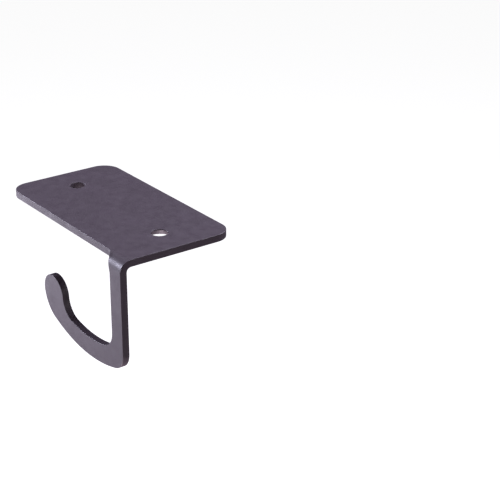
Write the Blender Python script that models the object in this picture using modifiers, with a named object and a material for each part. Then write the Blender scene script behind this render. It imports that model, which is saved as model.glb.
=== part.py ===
"""Under-table headphone hook: one steel sheet, cut to a flat blank and folded once.

The blank is a rectangular screw plate with a narrow tab at one end of a long
edge.  The tab is cut to a J and folded 90 degrees down.  Units are metres.
+Z is up, z = 0 is the plate's top face (the face that meets the table), the
origin is the middle of that face, +X runs along the plate to the end that
carries the hook, and -Y is the side the hook is folded down from.
"""

import math

import bmesh
import bpy
from mathutils import Matrix

MM = 0.001

# Sheet and plate
SHEET = 2.45 * MM
PLATE_LENGTH = 76.2 * MM
PLATE_WIDTH = 39.92 * MM
PLATE_CORNER_RADIUS = 6.35 * MM
ARRIS = 0.12 * MM

# Screw holes
HOLE_DIAMETER = 5.4 * MM
HOLE_SPACING = 51.3 * MM
HOLE_OFFSET_Y = -0.25 * MM
HOLE_ARRIS = 0.12 * MM
COUNTERSINK_DIAMETER = 9.2 * MM
COUNTERSINK_LAND = 0.3 * MM

# Fold between the plate and the hanging strip, its slope easing in and out
FOLD_LENGTH = 5.6 * MM
NEUTRAL_DEPTH = 0.55 * SHEET
STRIP_PROUD = 2.91 * MM
STRIP_WIDTH = 6.23 * MM

# Fillet where the strip leaves the plate, and the band over which it starts to fold
ROOT_FILLET_RADIUS = 5.2 * MM
BLEND_DELAY = 1.3 * MM
BLEND_WIDTH = 3.2 * MM

# Hook, each arc as (radius, angle), walked from the strip's outer edge round
# the heel and the tip and back along the throat
STRIP_EDGE_END_Z = -31.97 * MM
HEEL_CORNER = (6.5 * MM, 73.5)
SOLE_SWEEP = (54.5 * MM, 38.5)
TOE_STRAIGHT = 2.0 * MM
TOE_SWEEP = (10.75 * MM, 63.5)
TIP_BACK = (5.8 * MM, 86.5)
TIP_FRONT = (6.3 * MM, 94.0)
THROAT_RISE = (7.0 * MM, 72.5)
THROAT_FLOOR = (45.0 * MM, 26.0)
THROAT_CORNER_RADIUS = 6.45 * MM

# Mesh fineness, angles of arc pieces in degrees
ARC_PIECE = 45.0
ARC_POINTS = 10
ARRIS_SEGMENTS = 2
SHARP_ANGLE = math.radians(45)
FLAT_ANGLE = math.radians(0.05)
FOLD_STEPS = 12
PATH_STEPS = 40
BLEND_STEPS = 6
HOLE_STEPS = 48
CUTTER_OVERRUN = 1.0 * MM
WELD = 0.001 * MM
CLOSE_POINTS = 0.04 * MM

# Finish: dark grey satin powder coat
COAT_COLOUR = (0.052, 0.045, 0.056, 1.0)
COAT_ROUGHNESS = 0.45


def ease(share):
    """0 to 1 with a gentle start and end."""
    return share * share * (3 - 2 * share)


def along_fold(reach):
    """The sheet's neutral line some way into the fold: run out, run down and slope."""
    inside = min(reach, FOLD_LENGTH)
    step = inside / PATH_STEPS
    out = 0.0
    down = reach - inside
    for i in range(PATH_STEPS):
        angle = math.pi / 2 * ease((i + 0.5) * step / FOLD_LENGTH)
        out += step * math.cos(angle)
        down += step * math.sin(angle)
    return out, down, math.pi / 2 * ease(inside / FOLD_LENGTH)


# Derived positions
FRONT_EDGE_Y = -PLATE_WIDTH / 2
STRIP_OUTER_Y = FRONT_EDGE_Y - STRIP_PROUD
FOLD_REACH, FOLD_DROP, _ = along_fold(FOLD_LENGTH)
FOLD_START_Y = STRIP_OUTER_Y + NEUTRAL_DEPTH + FOLD_REACH
FOLD_END_Y = FOLD_START_Y - FOLD_LENGTH
STRIP_RIGHT_X = PLATE_LENGTH / 2
STRIP_LEFT_X = STRIP_RIGHT_X - STRIP_WIDTH
BLEND_START_X = STRIP_LEFT_X - ROOT_FILLET_RADIUS + BLEND_DELAY


def blank_y(z):
    """Height on the folded strip -> place on the flat blank."""
    return FOLD_END_Y + z + NEUTRAL_DEPTH + FOLD_DROP


class Pen:
    """Walks a closed outline of tangent lines and arcs as Bezier points."""

    def __init__(self, x, y, heading):
        self.x = x
        self.y = y
        self.heading = math.radians(heading)
        self.knots = [[(x, y), (x, y), (x, y)]]

    def _step(self, x, y, out_handle, in_handle):
        self.knots[-1][2] = out_handle
        self.knots.append([in_handle, (x, y), (x, y)])
        self.x = x
        self.y = y

    def line(self, length):
        dx = math.cos(self.heading) * length
        dy = math.sin(self.heading) * length
        start = (self.x, self.y)
        end = (self.x + dx, self.y + dy)
        third = (start[0] + dx / 3, start[1] + dy / 3)
        two_thirds = (end[0] - dx / 3, end[1] - dy / 3)
        self._step(end[0], end[1], third, two_thirds)

    def arc(self, radius, angle):
        """Positive angles turn left, negative angles turn right."""
        side = math.copysign(1.0, angle)
        pieces = math.ceil(abs(angle) / ARC_PIECE)
        turn = math.radians(angle) / pieces
        handle = radius * 4 / 3 * math.tan(abs(turn) / 4)
        for _ in range(pieces):
            cx = self.x - side * radius * math.sin(self.heading)
            cy = self.y + side * radius * math.cos(self.heading)
            out_handle = (
                self.x + handle * math.cos(self.heading),
                self.y + handle * math.sin(self.heading),
            )
            self.heading += turn
            x = cx + side * radius * math.sin(self.heading)
            y = cy - side * radius * math.cos(self.heading)
            in_handle = (
                x - handle * math.cos(self.heading),
                y - handle * math.sin(self.heading),
            )
            self._step(x, y, out_handle, in_handle)

    def close(self):
        """Join the last point onto the first and give the knots."""
        first = self.knots[0]
        last = self.knots.pop()
        first[0] = last[0]
        return self.knots


def blank_outline():
    """Knots of the whole flat blank, walked clockwise from the strip's outer edge."""
    corner = PLATE_CORNER_RADIUS
    pen = Pen(STRIP_RIGHT_X, 0.0, -90)
    pen.line(-blank_y(STRIP_EDGE_END_Z))
    pen.arc(HEEL_CORNER[0], -HEEL_CORNER[1])
    pen.arc(SOLE_SWEEP[0], -SOLE_SWEEP[1])
    pen.line(TOE_STRAIGHT)
    pen.arc(TOE_SWEEP[0], -TOE_SWEEP[1])
    pen.arc(TIP_BACK[0], -TIP_BACK[1])
    pen.arc(TIP_FRONT[0], -TIP_FRONT[1])
    pen.arc(*THROAT_RISE)
    pen.arc(*THROAT_FLOOR)
    rest = math.degrees(math.pi / 2 - pen.heading) % 360
    pen.arc(THROAT_CORNER_RADIUS, rest)
    strip_left = pen.x
    root = ROOT_FILLET_RADIUS
    pen.line(FRONT_EDGE_Y - root - pen.y)
    pen.arc(root, 90)
    pen.line(strip_left - root + PLATE_LENGTH / 2 - corner)
    pen.arc(corner, -90)
    pen.line(PLATE_WIDTH - 2 * corner)
    pen.arc(corner, -90)
    pen.line(PLATE_LENGTH - 2 * corner)
    pen.arc(corner, -90)
    pen.line(pen.y)
    return pen.close()


def add_spline(curve, knots):
    """Add a closed Bezier spline with the knots (handle, point, handle)."""
    spline = curve.splines.new("BEZIER")
    spline.bezier_points.add(len(knots) - 1)
    spline.use_cyclic_u = True
    for point, (left, middle, right) in zip(spline.bezier_points, knots):
        point.handle_left_type = "FREE"
        point.handle_right_type = "FREE"
        point.handle_left = (*left, 0.0)
        point.co = (*middle, 0.0)
        point.handle_right = (*right, 0.0)


def cut_blank():
    """The flat blank as a solid mesh, top face at z = 0."""
    curve = bpy.data.curves.new("blank", "CURVE")
    curve.dimensions = "2D"
    curve.fill_mode = "BOTH"
    curve.extrude = SHEET / 2
    curve.resolution_u = ARC_POINTS
    add_spline(curve, blank_outline())
    flat = bpy.data.objects.new("blank", curve)
    bpy.context.scene.collection.objects.link(flat)
    bpy.context.view_layer.update()
    evaluated = flat.evaluated_get(bpy.context.evaluated_depsgraph_get())
    mesh = bpy.data.meshes.new_from_object(evaluated)
    mesh.transform(Matrix.Translation((0.0, 0.0, -SHEET / 2)))
    bpy.data.objects.remove(flat)
    bpy.data.curves.remove(curve)
    return mesh


def round_arrises(blank):
    """Round the outline's edges on both faces while the blank is flat."""
    arrises = [edge for edge in blank.edges if edge.calc_face_angle() > SHARP_ANGLE]
    bmesh.ops.bevel(
        blank,
        geom=arrises,
        offset=ARRIS,
        offset_type="OFFSET",
        segments=ARRIS_SEGMENTS,
        profile=0.5,
        affect="EDGES",
    )


def slice_region(blank, inside, positions, axis):
    """Cut the faces that lie in a region with planes across one axis."""
    normal = tuple(1.0 if i == axis else 0.0 for i in range(3))
    for position in positions:
        origin = tuple(position if i == axis else 0.0 for i in range(3))
        faces = [face for face in blank.faces if inside(face)]
        edges = {edge for face in faces for edge in face.edges}
        verts = {vert for face in faces for vert in face.verts}
        bmesh.ops.bisect_plane(
            blank,
            geom=[*verts, *edges, *faces],
            dist=WELD,
            plane_co=origin,
            plane_no=normal,
        )


def above_strip(face):
    return all(vert.co.y > FOLD_END_Y - WELD for vert in face.verts)


def at_hook_end(face):
    return above_strip(face) and all(
        vert.co.x > BLEND_START_X - WELD for vert in face.verts
    )


def in_fold(face):
    return at_hook_end(face) and all(
        vert.co.y < FOLD_START_Y + WELD for vert in face.verts
    )


def folded(x, y, z):
    """Where a point of the blank ends up after the fold."""
    reach = FOLD_START_Y - y
    if reach <= 0:
        return y, z
    out, down, angle = along_fold(reach)
    height = z + NEUTRAL_DEPTH
    new_y = FOLD_START_Y - out - height * math.sin(angle)
    new_z = height * math.cos(angle) - NEUTRAL_DEPTH - down
    if y < FOLD_END_Y:
        return new_y, new_z
    share = ease(min(1.0, max(0.0, (x - BLEND_START_X) / BLEND_WIDTH)))
    return y + (new_y - y) * share, z + (new_z - z) * share


def fold(mesh):
    """Weld the blank, round it, cut it finely across the fold and bend the tab down."""
    blank = bmesh.new()
    blank.from_mesh(mesh)
    bmesh.ops.remove_doubles(blank, verts=blank.verts, dist=WELD)
    bmesh.ops.dissolve_limit(
        blank,
        angle_limit=FLAT_ANGLE,
        verts=blank.verts,
        edges=blank.edges,
    )
    round_arrises(blank)
    slice_region(blank, lambda face: True, [FOLD_END_Y], 1)
    slice_region(blank, above_strip, [BLEND_START_X], 0)
    step = FOLD_LENGTH / FOLD_STEPS
    across = [FOLD_START_Y - step * i for i in range(FOLD_STEPS)]
    slice_region(blank, at_hook_end, across, 1)
    step = BLEND_WIDTH / BLEND_STEPS
    along = [BLEND_START_X + step * i for i in range(1, BLEND_STEPS + 1)]
    slice_region(blank, in_fold, along, 0)
    bmesh.ops.remove_doubles(blank, verts=blank.verts, dist=CLOSE_POINTS)
    for vert in blank.verts:
        vert.co.y, vert.co.z = folded(*vert.co)
    bmesh.ops.recalc_face_normals(blank, faces=blank.faces)
    blank.to_mesh(mesh)
    blank.free()


def plain_bore():
    """Half section (radius, z) of the tool for a straight hole with broken edges."""
    radius = HOLE_DIAMETER / 2
    return [
        (0.0, CUTTER_OVERRUN),
        (radius + HOLE_ARRIS + CUTTER_OVERRUN, CUTTER_OVERRUN),
        (radius, -HOLE_ARRIS),
        (radius, HOLE_ARRIS - SHEET),
        (radius + HOLE_ARRIS + CUTTER_OVERRUN, -SHEET - CUTTER_OVERRUN),
        (0.0, -SHEET - CUTTER_OVERRUN),
    ]


def countersunk_bore():
    """Half section (radius, z) of the tool for a hole countersunk from below."""
    radius = HOLE_DIAMETER / 2
    sink_radius = COUNTERSINK_DIAMETER / 2
    flare = (sink_radius - radius) / (SHEET - COUNTERSINK_LAND)
    return [
        (0.0, CUTTER_OVERRUN),
        (radius + HOLE_ARRIS + CUTTER_OVERRUN, CUTTER_OVERRUN),
        (radius, -HOLE_ARRIS),
        (radius, -COUNTERSINK_LAND),
        (sink_radius + flare * CUTTER_OVERRUN, -SHEET - CUTTER_OVERRUN),
        (0.0, -SHEET - CUTTER_OVERRUN),
    ]


def turn_cutter(name, section, x, y, tools):
    """Spin a half section about a vertical axis at (x, y) into a closed tool."""
    mesh = bpy.data.meshes.new(name)
    edges = [(i, i + 1) for i in range(len(section) - 1)]
    mesh.from_pydata([(radius, 0.0, z) for radius, z in section], edges, [])
    cutter = bpy.data.objects.new(name, mesh)
    cutter.location = (x, y, 0.0)
    cutter.hide_render = True
    cutter.display_type = "WIRE"
    spin = cutter.modifiers.new("spin", "SCREW")
    spin.steps = HOLE_STEPS
    spin.render_steps = HOLE_STEPS
    spin.use_merge_vertices = True
    spin.merge_threshold = WELD
    tools.objects.link(cutter)
    return cutter


def powder_coat():
    """Dark grey satin powder coat over steel."""
    material = bpy.data.materials.new("powder_coat")
    material.use_nodes = True
    shader = material.node_tree.nodes["Principled BSDF"]
    shader.inputs["Base Color"].default_value = COAT_COLOUR
    shader.inputs["Roughness"].default_value = COAT_ROUGHNESS
    shader.inputs["Metallic"].default_value = 0.0
    return material


def build():
    for item in list(bpy.data.objects):
        bpy.data.objects.remove(item)
    parts = bpy.data.collections.new("headphone_hook")
    tools = bpy.data.collections.new("cutters")
    tools.hide_render = True
    bpy.context.scene.collection.children.link(parts)
    bpy.context.scene.collection.children.link(tools)
    mesh = cut_blank()
    fold(mesh)
    mesh.name = "hook_bracket"
    mesh.materials.clear()
    mesh.materials.append(powder_coat())
    mesh.shade_smooth()
    mesh.set_sharp_from_angle(angle=SHARP_ANGLE)
    bracket = bpy.data.objects.new("hook_bracket", mesh)
    parts.objects.link(bracket)
    bores = {
        "far_bore": (plain_bore(), -HOLE_SPACING / 2),
        "near_bore": (countersunk_bore(), HOLE_SPACING / 2),
    }
    for name, (section, x) in bores.items():
        cut = bracket.modifiers.new(name, "BOOLEAN")
        cut.operation = "DIFFERENCE"
        cut.solver = "EXACT"
        cut.object = turn_cutter(name, section, x, HOLE_OFFSET_Y, tools)


build()
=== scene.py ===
"""Looks for the under-table headphone hook: a folded steel sheet in dark satin powder coat.

The sheet is rebuilt finely on the CAD node's box: cut as a flat blank, folded
once, its cut edges rounded as the coat leaves them and its screw holes turned.
Everything is in metres, in the CAD frame: z = 0 is the plate's top face.
"""

import math

import bmesh
import bpy
from mathutils import Matrix, Vector

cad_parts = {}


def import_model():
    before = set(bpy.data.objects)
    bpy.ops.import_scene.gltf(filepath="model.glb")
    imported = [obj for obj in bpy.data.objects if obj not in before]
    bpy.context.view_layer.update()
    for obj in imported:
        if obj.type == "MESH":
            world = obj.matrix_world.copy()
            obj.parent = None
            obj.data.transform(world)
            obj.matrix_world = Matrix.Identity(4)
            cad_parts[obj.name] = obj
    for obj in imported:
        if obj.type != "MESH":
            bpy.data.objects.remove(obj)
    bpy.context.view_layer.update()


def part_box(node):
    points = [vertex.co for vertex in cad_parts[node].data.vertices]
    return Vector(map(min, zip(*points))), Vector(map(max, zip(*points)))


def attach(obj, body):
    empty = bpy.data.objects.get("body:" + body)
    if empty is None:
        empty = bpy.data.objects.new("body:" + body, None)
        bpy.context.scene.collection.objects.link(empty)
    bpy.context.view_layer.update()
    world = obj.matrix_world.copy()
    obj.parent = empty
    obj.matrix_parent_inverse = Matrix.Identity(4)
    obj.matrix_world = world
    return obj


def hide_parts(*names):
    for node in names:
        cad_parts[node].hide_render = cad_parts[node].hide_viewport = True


MM = 0.001

# Sheet and fold
SHEET = 2.45 * MM
CORNER_RADIUS = 6.35 * MM
STRIP_PROUD = 2.91 * MM
FOLD_LENGTH = 5.6 * MM
NEUTRAL_DEPTH = 0.55 * SHEET
STRIP_WIDTH = 6.23 * MM
ROOT_FILLET_RADIUS = 5.2 * MM
BLEND_DELAY = 1.3 * MM
BLEND_WIDTH = 3.2 * MM
ARRIS = 0.12 * MM

# Hook arcs as (radius, angle in degrees)
STRIP_EDGE_END_Z = -31.97 * MM
HEEL_CORNER = (6.5 * MM, 73.5)
SOLE_SWEEP = (54.5 * MM, 38.5)
TOE_STRAIGHT = 2.0 * MM
TOE_SWEEP = (10.75 * MM, 63.5)
TIP_BACK = (5.8 * MM, 86.5)
TIP_FRONT = (6.3 * MM, 94.0)
THROAT_RISE = (7.0 * MM, 72.5)
THROAT_FLOOR = (45.0 * MM, 26.0)
THROAT_CORNER_RADIUS = 6.45 * MM

# Screw holes
HOLE_RADIUS = 2.7 * MM
HOLE_SPACING = 51.3 * MM
HOLE_OFFSET_Y = -0.25 * MM
HOLE_RIM = 0.15 * MM
COUNTERSINK_RADIUS = 4.6 * MM
COUNTERSINK_LAND = 0.3 * MM

# Mesh fineness, with ARC_STEP in degrees
ARC_STEP = 2.0
FOLD_STEPS = 30
PATH_STEPS = 40
BLEND_STEPS = 16
ARRIS_SEGMENTS = 3
ARRIS_PROFILE = 0.5
ARRIS_LIMIT = math.radians(50)
HOLE_STEPS = 96
OVERRUN = 1.0 * MM
RIM_STEPS = 4
RIM_OVERRUN = 6.0
WELD = 0.001 * MM
CLOSE_POINTS = 0.01 * MM
SMOOTH_ANGLE = math.radians(35)
FLAT_WEIGHT = 100
ARRIS_SLOT = 1

# Powder coat
COAT_DARK = (0.054, 0.042, 0.054, 1.0)
COAT_LIGHT = (0.070, 0.055, 0.071, 1.0)
COAT_WORN = (0.150, 0.125, 0.150, 1.0)
COAT_IOR = 1.5
NOISE_LOW = 0.3
NOISE_HIGH = 0.7
CLOUD_SIZE = 9.0 * MM
CLOUD_DETAIL = 2.0
CLOUD_SHARE = 0.6
SPECK_SIZE = 0.35 * MM
SPECK_SHARE = 0.4
SATIN_SIZE = 3.0 * MM
SATIN_DETAIL = 2.0
ROUGH_LOW = 0.40
ROUGH_HIGH = 0.50
GRAZE_START = 0.65
GRAZE_END = 0.82
GRAZE_ROUGHNESS = 0.35
PEEL_SIZE = 1.1 * MM
PEEL_DEPTH = 0.004 * MM
GRAIN_SIZE = 0.22 * MM
GRAIN_DETAIL = 1.0
GRAIN_DEPTH = 0.002 * MM
WEAR_SIZE = 2.5 * MM
WEAR_DETAIL = 3.0
WEAR_LEAST = 0.2
WEAR_PALENESS = 0.12
WEAR_POLISH = 0.06

# Camera: a three-quarter view from the front and above, off the hook end
VIEW_AZIMUTH = math.radians(53.41)
VIEW_ELEVATION = math.radians(23.85)
VIEW_ROLL = math.radians(0.21)
VIEW_DISTANCE = 477.2 * MM
AIM_RIGHT = 43.75 * MM
AIM_DOWN = 13.97 * MM
LENS_MM = 103.9
SENSOR_MM = 36.0
CLIP_START = 10.0 * MM

# Floor, backdrop and the glow off the floor
FLOOR_DROP = 0.6
FLOOR_RADIUS = 8.0
FLOOR_SEGMENTS = 64
FLOOR_GLOW = 0.95
BACKDROP_WHITE = (1.0, 1.0, 1.0, 1.0)
FLOOR_GREY = (0.8, 0.8, 0.8, 1.0)
FLOOR_ROUGHNESS = 0.9
GLOW_COLOUR = (1.0, 1.0, 1.0, 1.0)
GLOW_STRENGTH = 0.1
GLOW_EDGE = 0.3

# Soft square lights: direction, distance and width in metres, watts, colour
COLD = (0.82, 0.80, 1.0)
COOL = (0.88, 0.85, 1.0)
WARM = (1.0, 0.85, 0.95)
LIGHTS = {
    "key": ((-0.75, -0.55, 0.26), 0.9, 0.22, 8.0, COLD),
    "overhead": ((-0.08, 0.57, 0.80), 0.9, 0.6, 11.0, COOL),
    "upper_left": ((-0.77, 0.05, 0.63), 0.9, 0.45, 0.75, COOL),
    "left": ((-0.95, -0.30, -0.10), 0.5, 0.4, 1.25, COOL),
    "right": ((0.90, 0.20, 0.30), 0.9, 0.6, 1.2, WARM),
    "low_left": ((-0.73, -0.55, -0.40), 0.6, 0.4, 0.6, COOL),
    "back": ((0.35, 0.85, 0.35), 0.9, 0.5, 3.0, COOL),
    "under": ((0.10, -0.30, -0.95), 0.9, 0.5, 13.2, WARM),
}


class Pen:
    """Walks an outline of tangent lines and arcs as fine points."""

    def __init__(self, x, y, heading):
        self.x = x
        self.y = y
        self.heading = math.radians(heading)
        self.points = [(x, y)]

    def line(self, length):
        self.x += math.cos(self.heading) * length
        self.y += math.sin(self.heading) * length
        self.points.append((self.x, self.y))

    def arc(self, radius, angle):
        """Positive angles turn left, negative angles turn right."""
        steps = math.ceil(abs(angle) / ARC_STEP)
        turn = math.radians(angle) / steps
        chord = 2 * radius * math.sin(abs(turn) / 2)
        for _ in range(steps):
            self.heading += turn / 2
            self.line(chord)
            self.heading += turn / 2


def ease(share):
    """0 to 1 with a gentle start and end."""
    return share * share * (3 - 2 * share)


def along_fold(reach):
    """The sheet's neutral line some way into the fold: run out, run down and slope."""
    inside = min(reach, FOLD_LENGTH)
    step = inside / PATH_STEPS
    out = 0.0
    down = reach - inside
    for i in range(PATH_STEPS):
        angle = math.pi / 2 * ease((i + 0.5) * step / FOLD_LENGTH)
        out += step * math.cos(angle)
        down += step * math.sin(angle)
    return out, down, math.pi / 2 * ease(inside / FOLD_LENGTH)


class Blank:
    """The flat blank's main lines, worked out from the CAD box."""

    def __init__(self, low, high):
        self.left = low.x
        self.right = high.x
        self.back = high.y
        self.front = low.y + STRIP_PROUD
        fold_reach, self.fold_drop, _ = along_fold(FOLD_LENGTH)
        self.fold_start = low.y + NEUTRAL_DEPTH + fold_reach
        self.fold_end = self.fold_start - FOLD_LENGTH
        self.strip_left = high.x - STRIP_WIDTH
        self.blend_start = self.strip_left - ROOT_FILLET_RADIUS + BLEND_DELAY

    def flat_y(self, z):
        """Height on the folded strip -> place on the flat blank."""
        return self.fold_end + z + NEUTRAL_DEPTH + self.fold_drop

    def outline(self):
        """Points of the whole blank, clockwise from the strip's outer edge."""
        pen = Pen(self.right, 0.0, -90)
        pen.line(-self.flat_y(STRIP_EDGE_END_Z))
        pen.arc(HEEL_CORNER[0], -HEEL_CORNER[1])
        pen.arc(SOLE_SWEEP[0], -SOLE_SWEEP[1])
        pen.line(TOE_STRAIGHT)
        pen.arc(TOE_SWEEP[0], -TOE_SWEEP[1])
        pen.arc(TIP_BACK[0], -TIP_BACK[1])
        pen.arc(TIP_FRONT[0], -TIP_FRONT[1])
        pen.arc(*THROAT_RISE)
        pen.arc(*THROAT_FLOOR)
        pen.arc(THROAT_CORNER_RADIUS, math.degrees(math.pi / 2 - pen.heading) % 360)
        pen.line(self.front - ROOT_FILLET_RADIUS - pen.y)
        pen.arc(ROOT_FILLET_RADIUS, 90)
        pen.line(pen.x - self.left - CORNER_RADIUS)
        pen.arc(CORNER_RADIUS, -90)
        pen.line(self.back - CORNER_RADIUS - pen.y)
        pen.arc(CORNER_RADIUS, -90)
        pen.line(self.right - CORNER_RADIUS - pen.x)
        pen.arc(CORNER_RADIUS, -90)
        return pen.points

    def folded(self, x, y, z):
        """Where a point of the blank ends up after the fold."""
        reach = self.fold_start - y
        if reach <= 0:
            return y, z
        out, down, angle = along_fold(reach)
        height = z + NEUTRAL_DEPTH
        new_y = self.fold_start - out - height * math.sin(angle)
        new_z = height * math.cos(angle) - NEUTRAL_DEPTH - down
        if y < self.fold_end:
            return new_y, new_z
        share = ease(min(1.0, max(0.0, (x - self.blend_start) / BLEND_WIDTH)))
        return y + (new_y - y) * share, z + (new_z - z) * share


def round_arrises(sheet):
    """Round the outline's edges on both faces while the blank is flat, in their own slot."""
    arrises = [edge for edge in sheet.edges if edge.calc_face_angle() > ARRIS_LIMIT]
    bmesh.ops.bevel(
        sheet,
        geom=arrises,
        offset=ARRIS,
        offset_type="OFFSET",
        segments=ARRIS_SEGMENTS,
        profile=ARRIS_PROFILE,
        affect="EDGES",
        material=ARRIS_SLOT,
    )


def slice_region(sheet, inside, positions, axis):
    """Cut the faces that lie in a region with planes across one axis."""
    normal = Matrix.Identity(3)[axis]
    for position in positions:
        faces = [face for face in sheet.faces if inside(face)]
        edges = {edge for face in faces for edge in face.edges}
        verts = {vert for face in faces for vert in face.verts}
        bmesh.ops.bisect_plane(
            sheet,
            geom=[*verts, *edges, *faces],
            dist=WELD,
            plane_co=normal * position,
            plane_no=normal,
        )


def cut_blank(blank):
    """The flat blank as a solid bmesh, top face at z = 0."""
    sheet = bmesh.new()
    corners = [sheet.verts.new((x, y, 0.0)) for x, y in blank.outline()]
    top = sheet.faces.new(corners)
    lower = bmesh.ops.extrude_face_region(sheet, geom=[top])
    moved = [item for item in lower["geom"] if isinstance(item, bmesh.types.BMVert)]
    bmesh.ops.translate(sheet, verts=moved, vec=(0.0, 0.0, -SHEET))
    return sheet


def fold_blank(sheet, blank):
    """Cut the blank finely across the fold, merge close points and bend the tab down."""

    def above_strip(face):
        return all(vert.co.y > blank.fold_end - WELD for vert in face.verts)

    def at_hook_end(face):
        return above_strip(face) and all(
            vert.co.x > blank.blend_start - WELD for vert in face.verts
        )

    def in_fold(face):
        return at_hook_end(face) and all(
            vert.co.y < blank.fold_start + WELD for vert in face.verts
        )

    slice_region(sheet, lambda face: True, [blank.fold_end], 1)
    slice_region(sheet, above_strip, [blank.blend_start], 0)
    step = FOLD_LENGTH / FOLD_STEPS
    across = [blank.fold_start - step * i for i in range(FOLD_STEPS)]
    slice_region(sheet, at_hook_end, across, 1)
    step = BLEND_WIDTH / BLEND_STEPS
    along = [blank.blend_start + step * i for i in range(1, BLEND_STEPS + 1)]
    slice_region(sheet, in_fold, along, 0)
    # In sorted order, every run keeps the same one of two close points
    in_order = sorted(sheet.verts, key=lambda vert: vert.co[:])
    bmesh.ops.remove_doubles(sheet, verts=in_order, dist=CLOSE_POINTS)
    for vert in sheet.verts:
        vert.co.y, vert.co.z = blank.folded(*vert.co)
    bmesh.ops.recalc_face_normals(sheet, faces=sheet.faces)


def rounded_rim(lip, side):
    """Half section (radius, z) of a rounded hole rim, from outside the sheet into the hole.

    lip is the z of the sheet's face, side is +1 on the top face and -1 below.
    The first stretch runs on past the face, so that the cut crosses it cleanly.
    """
    centre = HOLE_RADIUS + HOLE_RIM
    points = []
    for i in range(RIM_STEPS + 1):
        angle = math.radians(90 + 90 * i / RIM_STEPS)
        radius = centre + HOLE_RIM * math.cos(angle)
        points.append((radius, lip - side * HOLE_RIM * (1 - math.sin(angle))))
    first, second = points[:2]
    points[0] = (
        first[0] + RIM_OVERRUN * (first[0] - second[0]),
        first[1] + RIM_OVERRUN * (first[1] - second[1]),
    )
    return points


def plain_bore():
    """Half section of the tool for a straight hole with rounded rims."""
    top = rounded_rim(0.0, 1)
    bottom = rounded_rim(-SHEET, -1)[::-1]
    return [(0.0, top[0][1]), *top, *bottom, (0.0, bottom[-1][1])]


def countersunk_bore():
    """Half section of the tool for a hole countersunk from below."""
    top = rounded_rim(0.0, 1)
    flare = (COUNTERSINK_RADIUS - HOLE_RADIUS) / (SHEET - COUNTERSINK_LAND)
    return [
        (0.0, top[0][1]),
        *top,
        (HOLE_RADIUS, -COUNTERSINK_LAND),
        (COUNTERSINK_RADIUS + flare * OVERRUN, -SHEET - OVERRUN),
        (0.0, -SHEET - OVERRUN),
    ]


def turn_cutter(name, section, x, y):
    """Spin a half section about a vertical axis at (x, y) into a closed mesh object."""
    mesh = bpy.data.meshes.new(name)
    edges = [(i, i + 1) for i in range(len(section) - 1)]
    mesh.from_pydata([(radius, 0.0, z) for radius, z in section], edges, [])
    cutter = bpy.data.objects.new(name, mesh)
    cutter.location = (x, y, 0.0)
    spin = cutter.modifiers.new("spin", "SCREW")
    spin.steps = HOLE_STEPS
    spin.render_steps = HOLE_STEPS
    spin.use_merge_vertices = True
    spin.merge_threshold = WELD
    bpy.context.scene.collection.objects.link(cutter)
    return cutter


def bake_modifiers(item):
    """Replace an object's mesh by its evaluated one and drop the modifiers."""
    bpy.context.view_layer.update()
    evaluated = item.evaluated_get(bpy.context.evaluated_depsgraph_get())
    baked = bpy.data.meshes.new_from_object(evaluated)
    item.modifiers.clear()
    item.data = baked


def mark_arrises(mesh):
    """Store on each point how much it lies on a rounded arris, for the finish."""
    rounded = [1.0] * len(mesh.vertices)
    for face in mesh.polygons:
        if face.material_index != ARRIS_SLOT:
            for index in face.vertices:
                rounded[index] = 0.0
        face.material_index = 0
    attribute = mesh.attributes.new("arris", "FLOAT", "POINT")
    attribute.data.foreach_set("value", rounded)


def cut_screw_holes(bracket, middle_y):
    """Cut the plain far hole and the countersunk near one; gives the cutters back."""
    bores = [("far_bore", plain_bore(), -1), ("near_bore", countersunk_bore(), 1)]
    cutters = []
    for name, section, side in bores:
        cutter = turn_cutter(name, section, side * HOLE_SPACING / 2, middle_y)
        cut = bracket.modifiers.new(name, "BOOLEAN")
        cut.operation = "DIFFERENCE"
        cut.solver = "EXACT"
        cut.object = cutter
        cutters.append(cutter)
    return cutters


def shade_evenly(bracket):
    """Smooth shading with true normals on the flats and sharp hole edges."""
    bracket.data.shade_smooth()
    bracket.data.set_sharp_from_angle(angle=SMOOTH_ANGLE)
    weighted = bracket.modifiers.new("even_normals", "WEIGHTED_NORMAL")
    weighted.weight = FLAT_WEIGHT
    weighted.keep_sharp = True


def make_bracket(low, high):
    """The whole bracket: blank, fold, rounded arrises and screw holes."""
    blank = Blank(low, high)
    sheet = cut_blank(blank)
    round_arrises(sheet)
    fold_blank(sheet, blank)
    mesh = bpy.data.meshes.new("bracket")
    sheet.to_mesh(mesh)
    sheet.free()
    bracket = bpy.data.objects.new("bracket", mesh)
    bpy.context.scene.collection.objects.link(bracket)
    finish = powder_coat()
    # The second slot carries the arrises through the cuts, until they are marked
    mesh.materials.append(finish)
    mesh.materials.append(finish)
    cutters = cut_screw_holes(bracket, (blank.front + blank.back) / 2 + HOLE_OFFSET_Y)
    bake_modifiers(bracket)
    for cutter in cutters:
        bpy.data.objects.remove(cutter)
    mark_arrises(bracket.data)
    bracket.data.materials.clear()
    bracket.data.materials.append(finish)
    shade_evenly(bracket)
    return bracket


def add_noise(tree, position, size, detail=0.0):
    """Noise with features about size across, as a value round 0.5."""
    noise = tree.nodes.new("ShaderNodeTexNoise")
    noise.inputs["Scale"].default_value = 1 / size
    noise.inputs["Detail"].default_value = detail
    tree.links.new(position, noise.inputs["Vector"])
    return noise.outputs["Fac"]


def add_range(tree, value, low, high, start=NOISE_LOW, end=NOISE_HIGH):
    """Stretch a value, of noise unless start and end say otherwise, over low to high."""
    stretch = tree.nodes.new("ShaderNodeMapRange")
    stretch.inputs["From Min"].default_value = start
    stretch.inputs["From Max"].default_value = end
    stretch.inputs["To Min"].default_value = low
    stretch.inputs["To Max"].default_value = high
    tree.links.new(value, stretch.inputs["Value"])
    return stretch.outputs["Result"]


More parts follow.
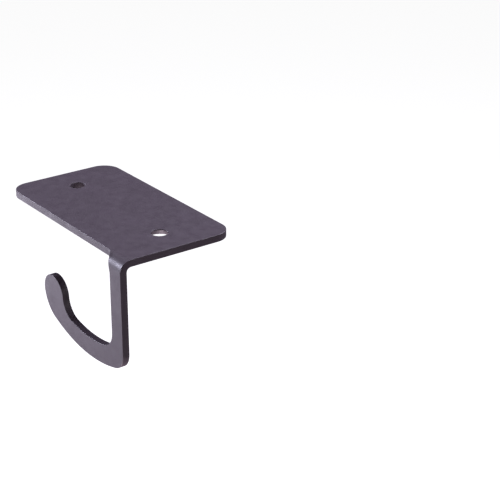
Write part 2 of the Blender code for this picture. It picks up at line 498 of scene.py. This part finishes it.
def add_math(tree, operation, first, second):
    """A math node on two values, each a socket or a number."""
    node = tree.nodes.new("ShaderNodeMath")
    node.operation = operation
    for socket, value in zip(node.inputs, (first, second)):
        if isinstance(value, float):
            socket.default_value = value
        else:
            tree.links.new(value, socket)
    return node.outputs["Value"]


def add_blend(tree, share, first, second):
    """Blend two colours, each a socket or a tuple, by a share."""
    node = tree.nodes.new("ShaderNodeMix")
    node.data_type = "RGBA"
    tree.links.new(share, node.inputs["Factor"])
    for socket, value in zip((node.inputs["A"], node.inputs["B"]), (first, second)):
        if isinstance(value, tuple):
            socket.default_value = value
        else:
            tree.links.new(value, socket)
    return node.outputs["Result"]


def add_bump(tree, height, depth, normal=None):
    """Raise the surface by a noise height times a depth in metres."""
    bump = tree.nodes.new("ShaderNodeBump")
    bump.inputs["Strength"].default_value = 1.0
    bump.inputs["Distance"].default_value = depth
    tree.links.new(height, bump.inputs["Height"])
    if normal:
        tree.links.new(normal, bump.inputs["Normal"])
    return bump.outputs["Normal"]


def powder_coat():
    """Dark warm grey satin powder coat.

    Cloudy tone, a fine pigment speckle, orange peel under a satin grain whose
    gloss softens at grazing angles, and a coat drawn thin, smoother and a little
    paler along the arrises.
    """
    material = bpy.data.materials.new("powder_coat")
    material.use_nodes = True
    tree = material.node_tree
    shader = tree.nodes["Principled BSDF"]
    position = tree.nodes.new("ShaderNodeTexCoord").outputs["Object"]

    clouds = add_noise(tree, position, CLOUD_SIZE, CLOUD_DETAIL)
    cloud = add_range(tree, clouds, 0.0, CLOUD_SHARE)
    speck = add_range(tree, add_noise(tree, position, SPECK_SIZE), 0.0, SPECK_SHARE)
    tone = add_blend(tree, add_math(tree, "ADD", cloud, speck), COAT_DARK, COAT_LIGHT)

    edge = tree.nodes.new("ShaderNodeAttribute")
    edge.attribute_name = "arris"
    patches = add_noise(tree, position, WEAR_SIZE, WEAR_DETAIL)
    patchy = add_range(tree, patches, WEAR_LEAST, 1.0)
    thin = add_math(tree, "MULTIPLY", edge.outputs["Fac"], patchy)
    pale = add_math(tree, "MULTIPLY", thin, WEAR_PALENESS)
    colour = add_blend(tree, pale, tone, COAT_WORN)
    tree.links.new(colour, shader.inputs["Base Color"])

    sheen = add_noise(tree, position, SATIN_SIZE, SATIN_DETAIL)
    satin = add_range(tree, sheen, ROUGH_LOW, ROUGH_HIGH)
    polish = add_math(tree, "MULTIPLY", thin, WEAR_POLISH)
    facing = tree.nodes.new("ShaderNodeLayerWeight").outputs["Facing"]
    graze = add_range(tree, facing, 0.0, GRAZE_ROUGHNESS, GRAZE_START, GRAZE_END)
    satin = add_math(tree, "ADD", add_math(tree, "SUBTRACT", satin, polish), graze)
    tree.links.new(satin, shader.inputs["Roughness"])

    peel = add_bump(tree, add_noise(tree, position, PEEL_SIZE), PEEL_DEPTH)
    grit = add_noise(tree, position, GRAIN_SIZE, GRAIN_DETAIL)
    grain = add_bump(tree, grit, GRAIN_DEPTH, peel)
    tree.links.new(grain, shader.inputs["Normal"])
    shader.inputs["IOR"].default_value = COAT_IOR
    return material


def make_camera():
    """The camera, looking down at the hook from its front right."""
    forward = Vector((
        -math.sin(VIEW_AZIMUTH) * math.cos(VIEW_ELEVATION),
        math.cos(VIEW_AZIMUTH) * math.cos(VIEW_ELEVATION),
        -math.sin(VIEW_ELEVATION),
    ))
    level = Vector((math.cos(VIEW_AZIMUTH), math.sin(VIEW_AZIMUTH), 0.0))
    upright = level.cross(forward)
    right = level * math.cos(VIEW_ROLL) + upright * math.sin(VIEW_ROLL)
    up = upright * math.cos(VIEW_ROLL) - level * math.sin(VIEW_ROLL)
    data = bpy.data.cameras.new("camera")
    data.sensor_width = SENSOR_MM
    data.lens = LENS_MM
    data.clip_start = CLIP_START
    camera = bpy.data.objects.new("camera", data)
    turn = Matrix((right, up, -forward)).transposed()
    place = right * AIM_RIGHT - up * AIM_DOWN - forward * VIEW_DISTANCE
    camera.matrix_world = Matrix.Translation(place) @ turn.to_4x4()
    bpy.context.scene.collection.objects.link(camera)
    bpy.context.scene.camera = camera


def softbox(name, toward, distance, width, watts, colour):
    """A square area light in direction toward, facing the hook and out of sight."""
    data = bpy.data.lights.new(name, "AREA")
    data.shape = "SQUARE"
    data.size = width
    data.energy = watts
    data.color = colour
    light = bpy.data.objects.new(name, data)
    direction = Vector(toward).normalized()
    light.location = direction * distance
    light.rotation_euler = direction.to_track_quat("Z", "Y").to_euler()
    light.visible_camera = False
    bpy.context.scene.collection.objects.link(light)


def make_lights():
    """A small low key that runs along the fold and large soft fills round it."""
    for name, settings in LIGHTS.items():
        softbox(name, *settings)


def make_world():
    """A pale glow from below, as off a pale floor, and white where the camera sees it."""
    world = bpy.data.worlds.new("studio")
    bpy.context.scene.world = world
    world.use_nodes = True
    nodes = world.node_tree.nodes
    links = world.node_tree.links
    direction = nodes.new("ShaderNodeSeparateXYZ")
    links.new(nodes.new("ShaderNodeTexCoord").outputs["Generated"], direction.inputs[0])
    fade = nodes.new("ShaderNodeMapRange")
    fade.inputs["From Min"].default_value = -GLOW_EDGE
    fade.inputs["From Max"].default_value = GLOW_EDGE
    fade.inputs["To Min"].default_value = GLOW_STRENGTH
    fade.inputs["To Max"].default_value = 0.0
    links.new(direction.outputs["Z"], fade.inputs["Value"])
    glow = nodes["Background"]
    glow.inputs["Color"].default_value = GLOW_COLOUR
    links.new(fade.outputs["Result"], glow.inputs["Strength"])
    backdrop = nodes.new("ShaderNodeBackground")
    backdrop.inputs["Color"].default_value = BACKDROP_WHITE
    rays = nodes.new("ShaderNodeLightPath")
    mix = nodes.new("ShaderNodeMixShader")
    links.new(rays.outputs["Is Camera Ray"], mix.inputs["Fac"])
    links.new(glow.outputs["Background"], mix.inputs[1])
    links.new(backdrop.outputs["Background"], mix.inputs[2])
    links.new(mix.outputs["Shader"], nodes["World Output"].inputs["Surface"])


def make_floor():
    """A plain pale floor well below the hook; the world's glow stands for its bounce."""
    mesh = bpy.data.meshes.new("floor")
    disc = bmesh.new()
    bmesh.ops.create_circle(
        disc, cap_ends=True, radius=FLOOR_RADIUS, segments=FLOOR_SEGMENTS
    )
    disc.to_mesh(mesh)
    disc.free()
    floor = bpy.data.objects.new("floor", mesh)
    floor.location.z = -FLOOR_DROP
    floor.visible_diffuse = False
    floor.visible_glossy = False
    floor.visible_shadow = False
    material = bpy.data.materials.new("pale_floor")
    material.use_nodes = True
    shader = material.node_tree.nodes["Principled BSDF"]
    shader.inputs["Base Color"].default_value = FLOOR_GREY
    shader.inputs["Roughness"].default_value = FLOOR_ROUGHNESS
    shader.inputs["Emission Color"].default_value = BACKDROP_WHITE
    shader.inputs["Emission Strength"].default_value = FLOOR_GLOW
    mesh.materials.append(material)
    bpy.context.scene.collection.objects.link(floor)


def main():
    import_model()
    bpy.context.scene.view_settings.view_transform = "Standard"
    make_camera()
    low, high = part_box("hook_bracket")
    bracket = make_bracket(low, high)
    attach(bracket, "root")
    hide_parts("hook_bracket")
    make_floor()
    make_world()
    make_lights()


main()
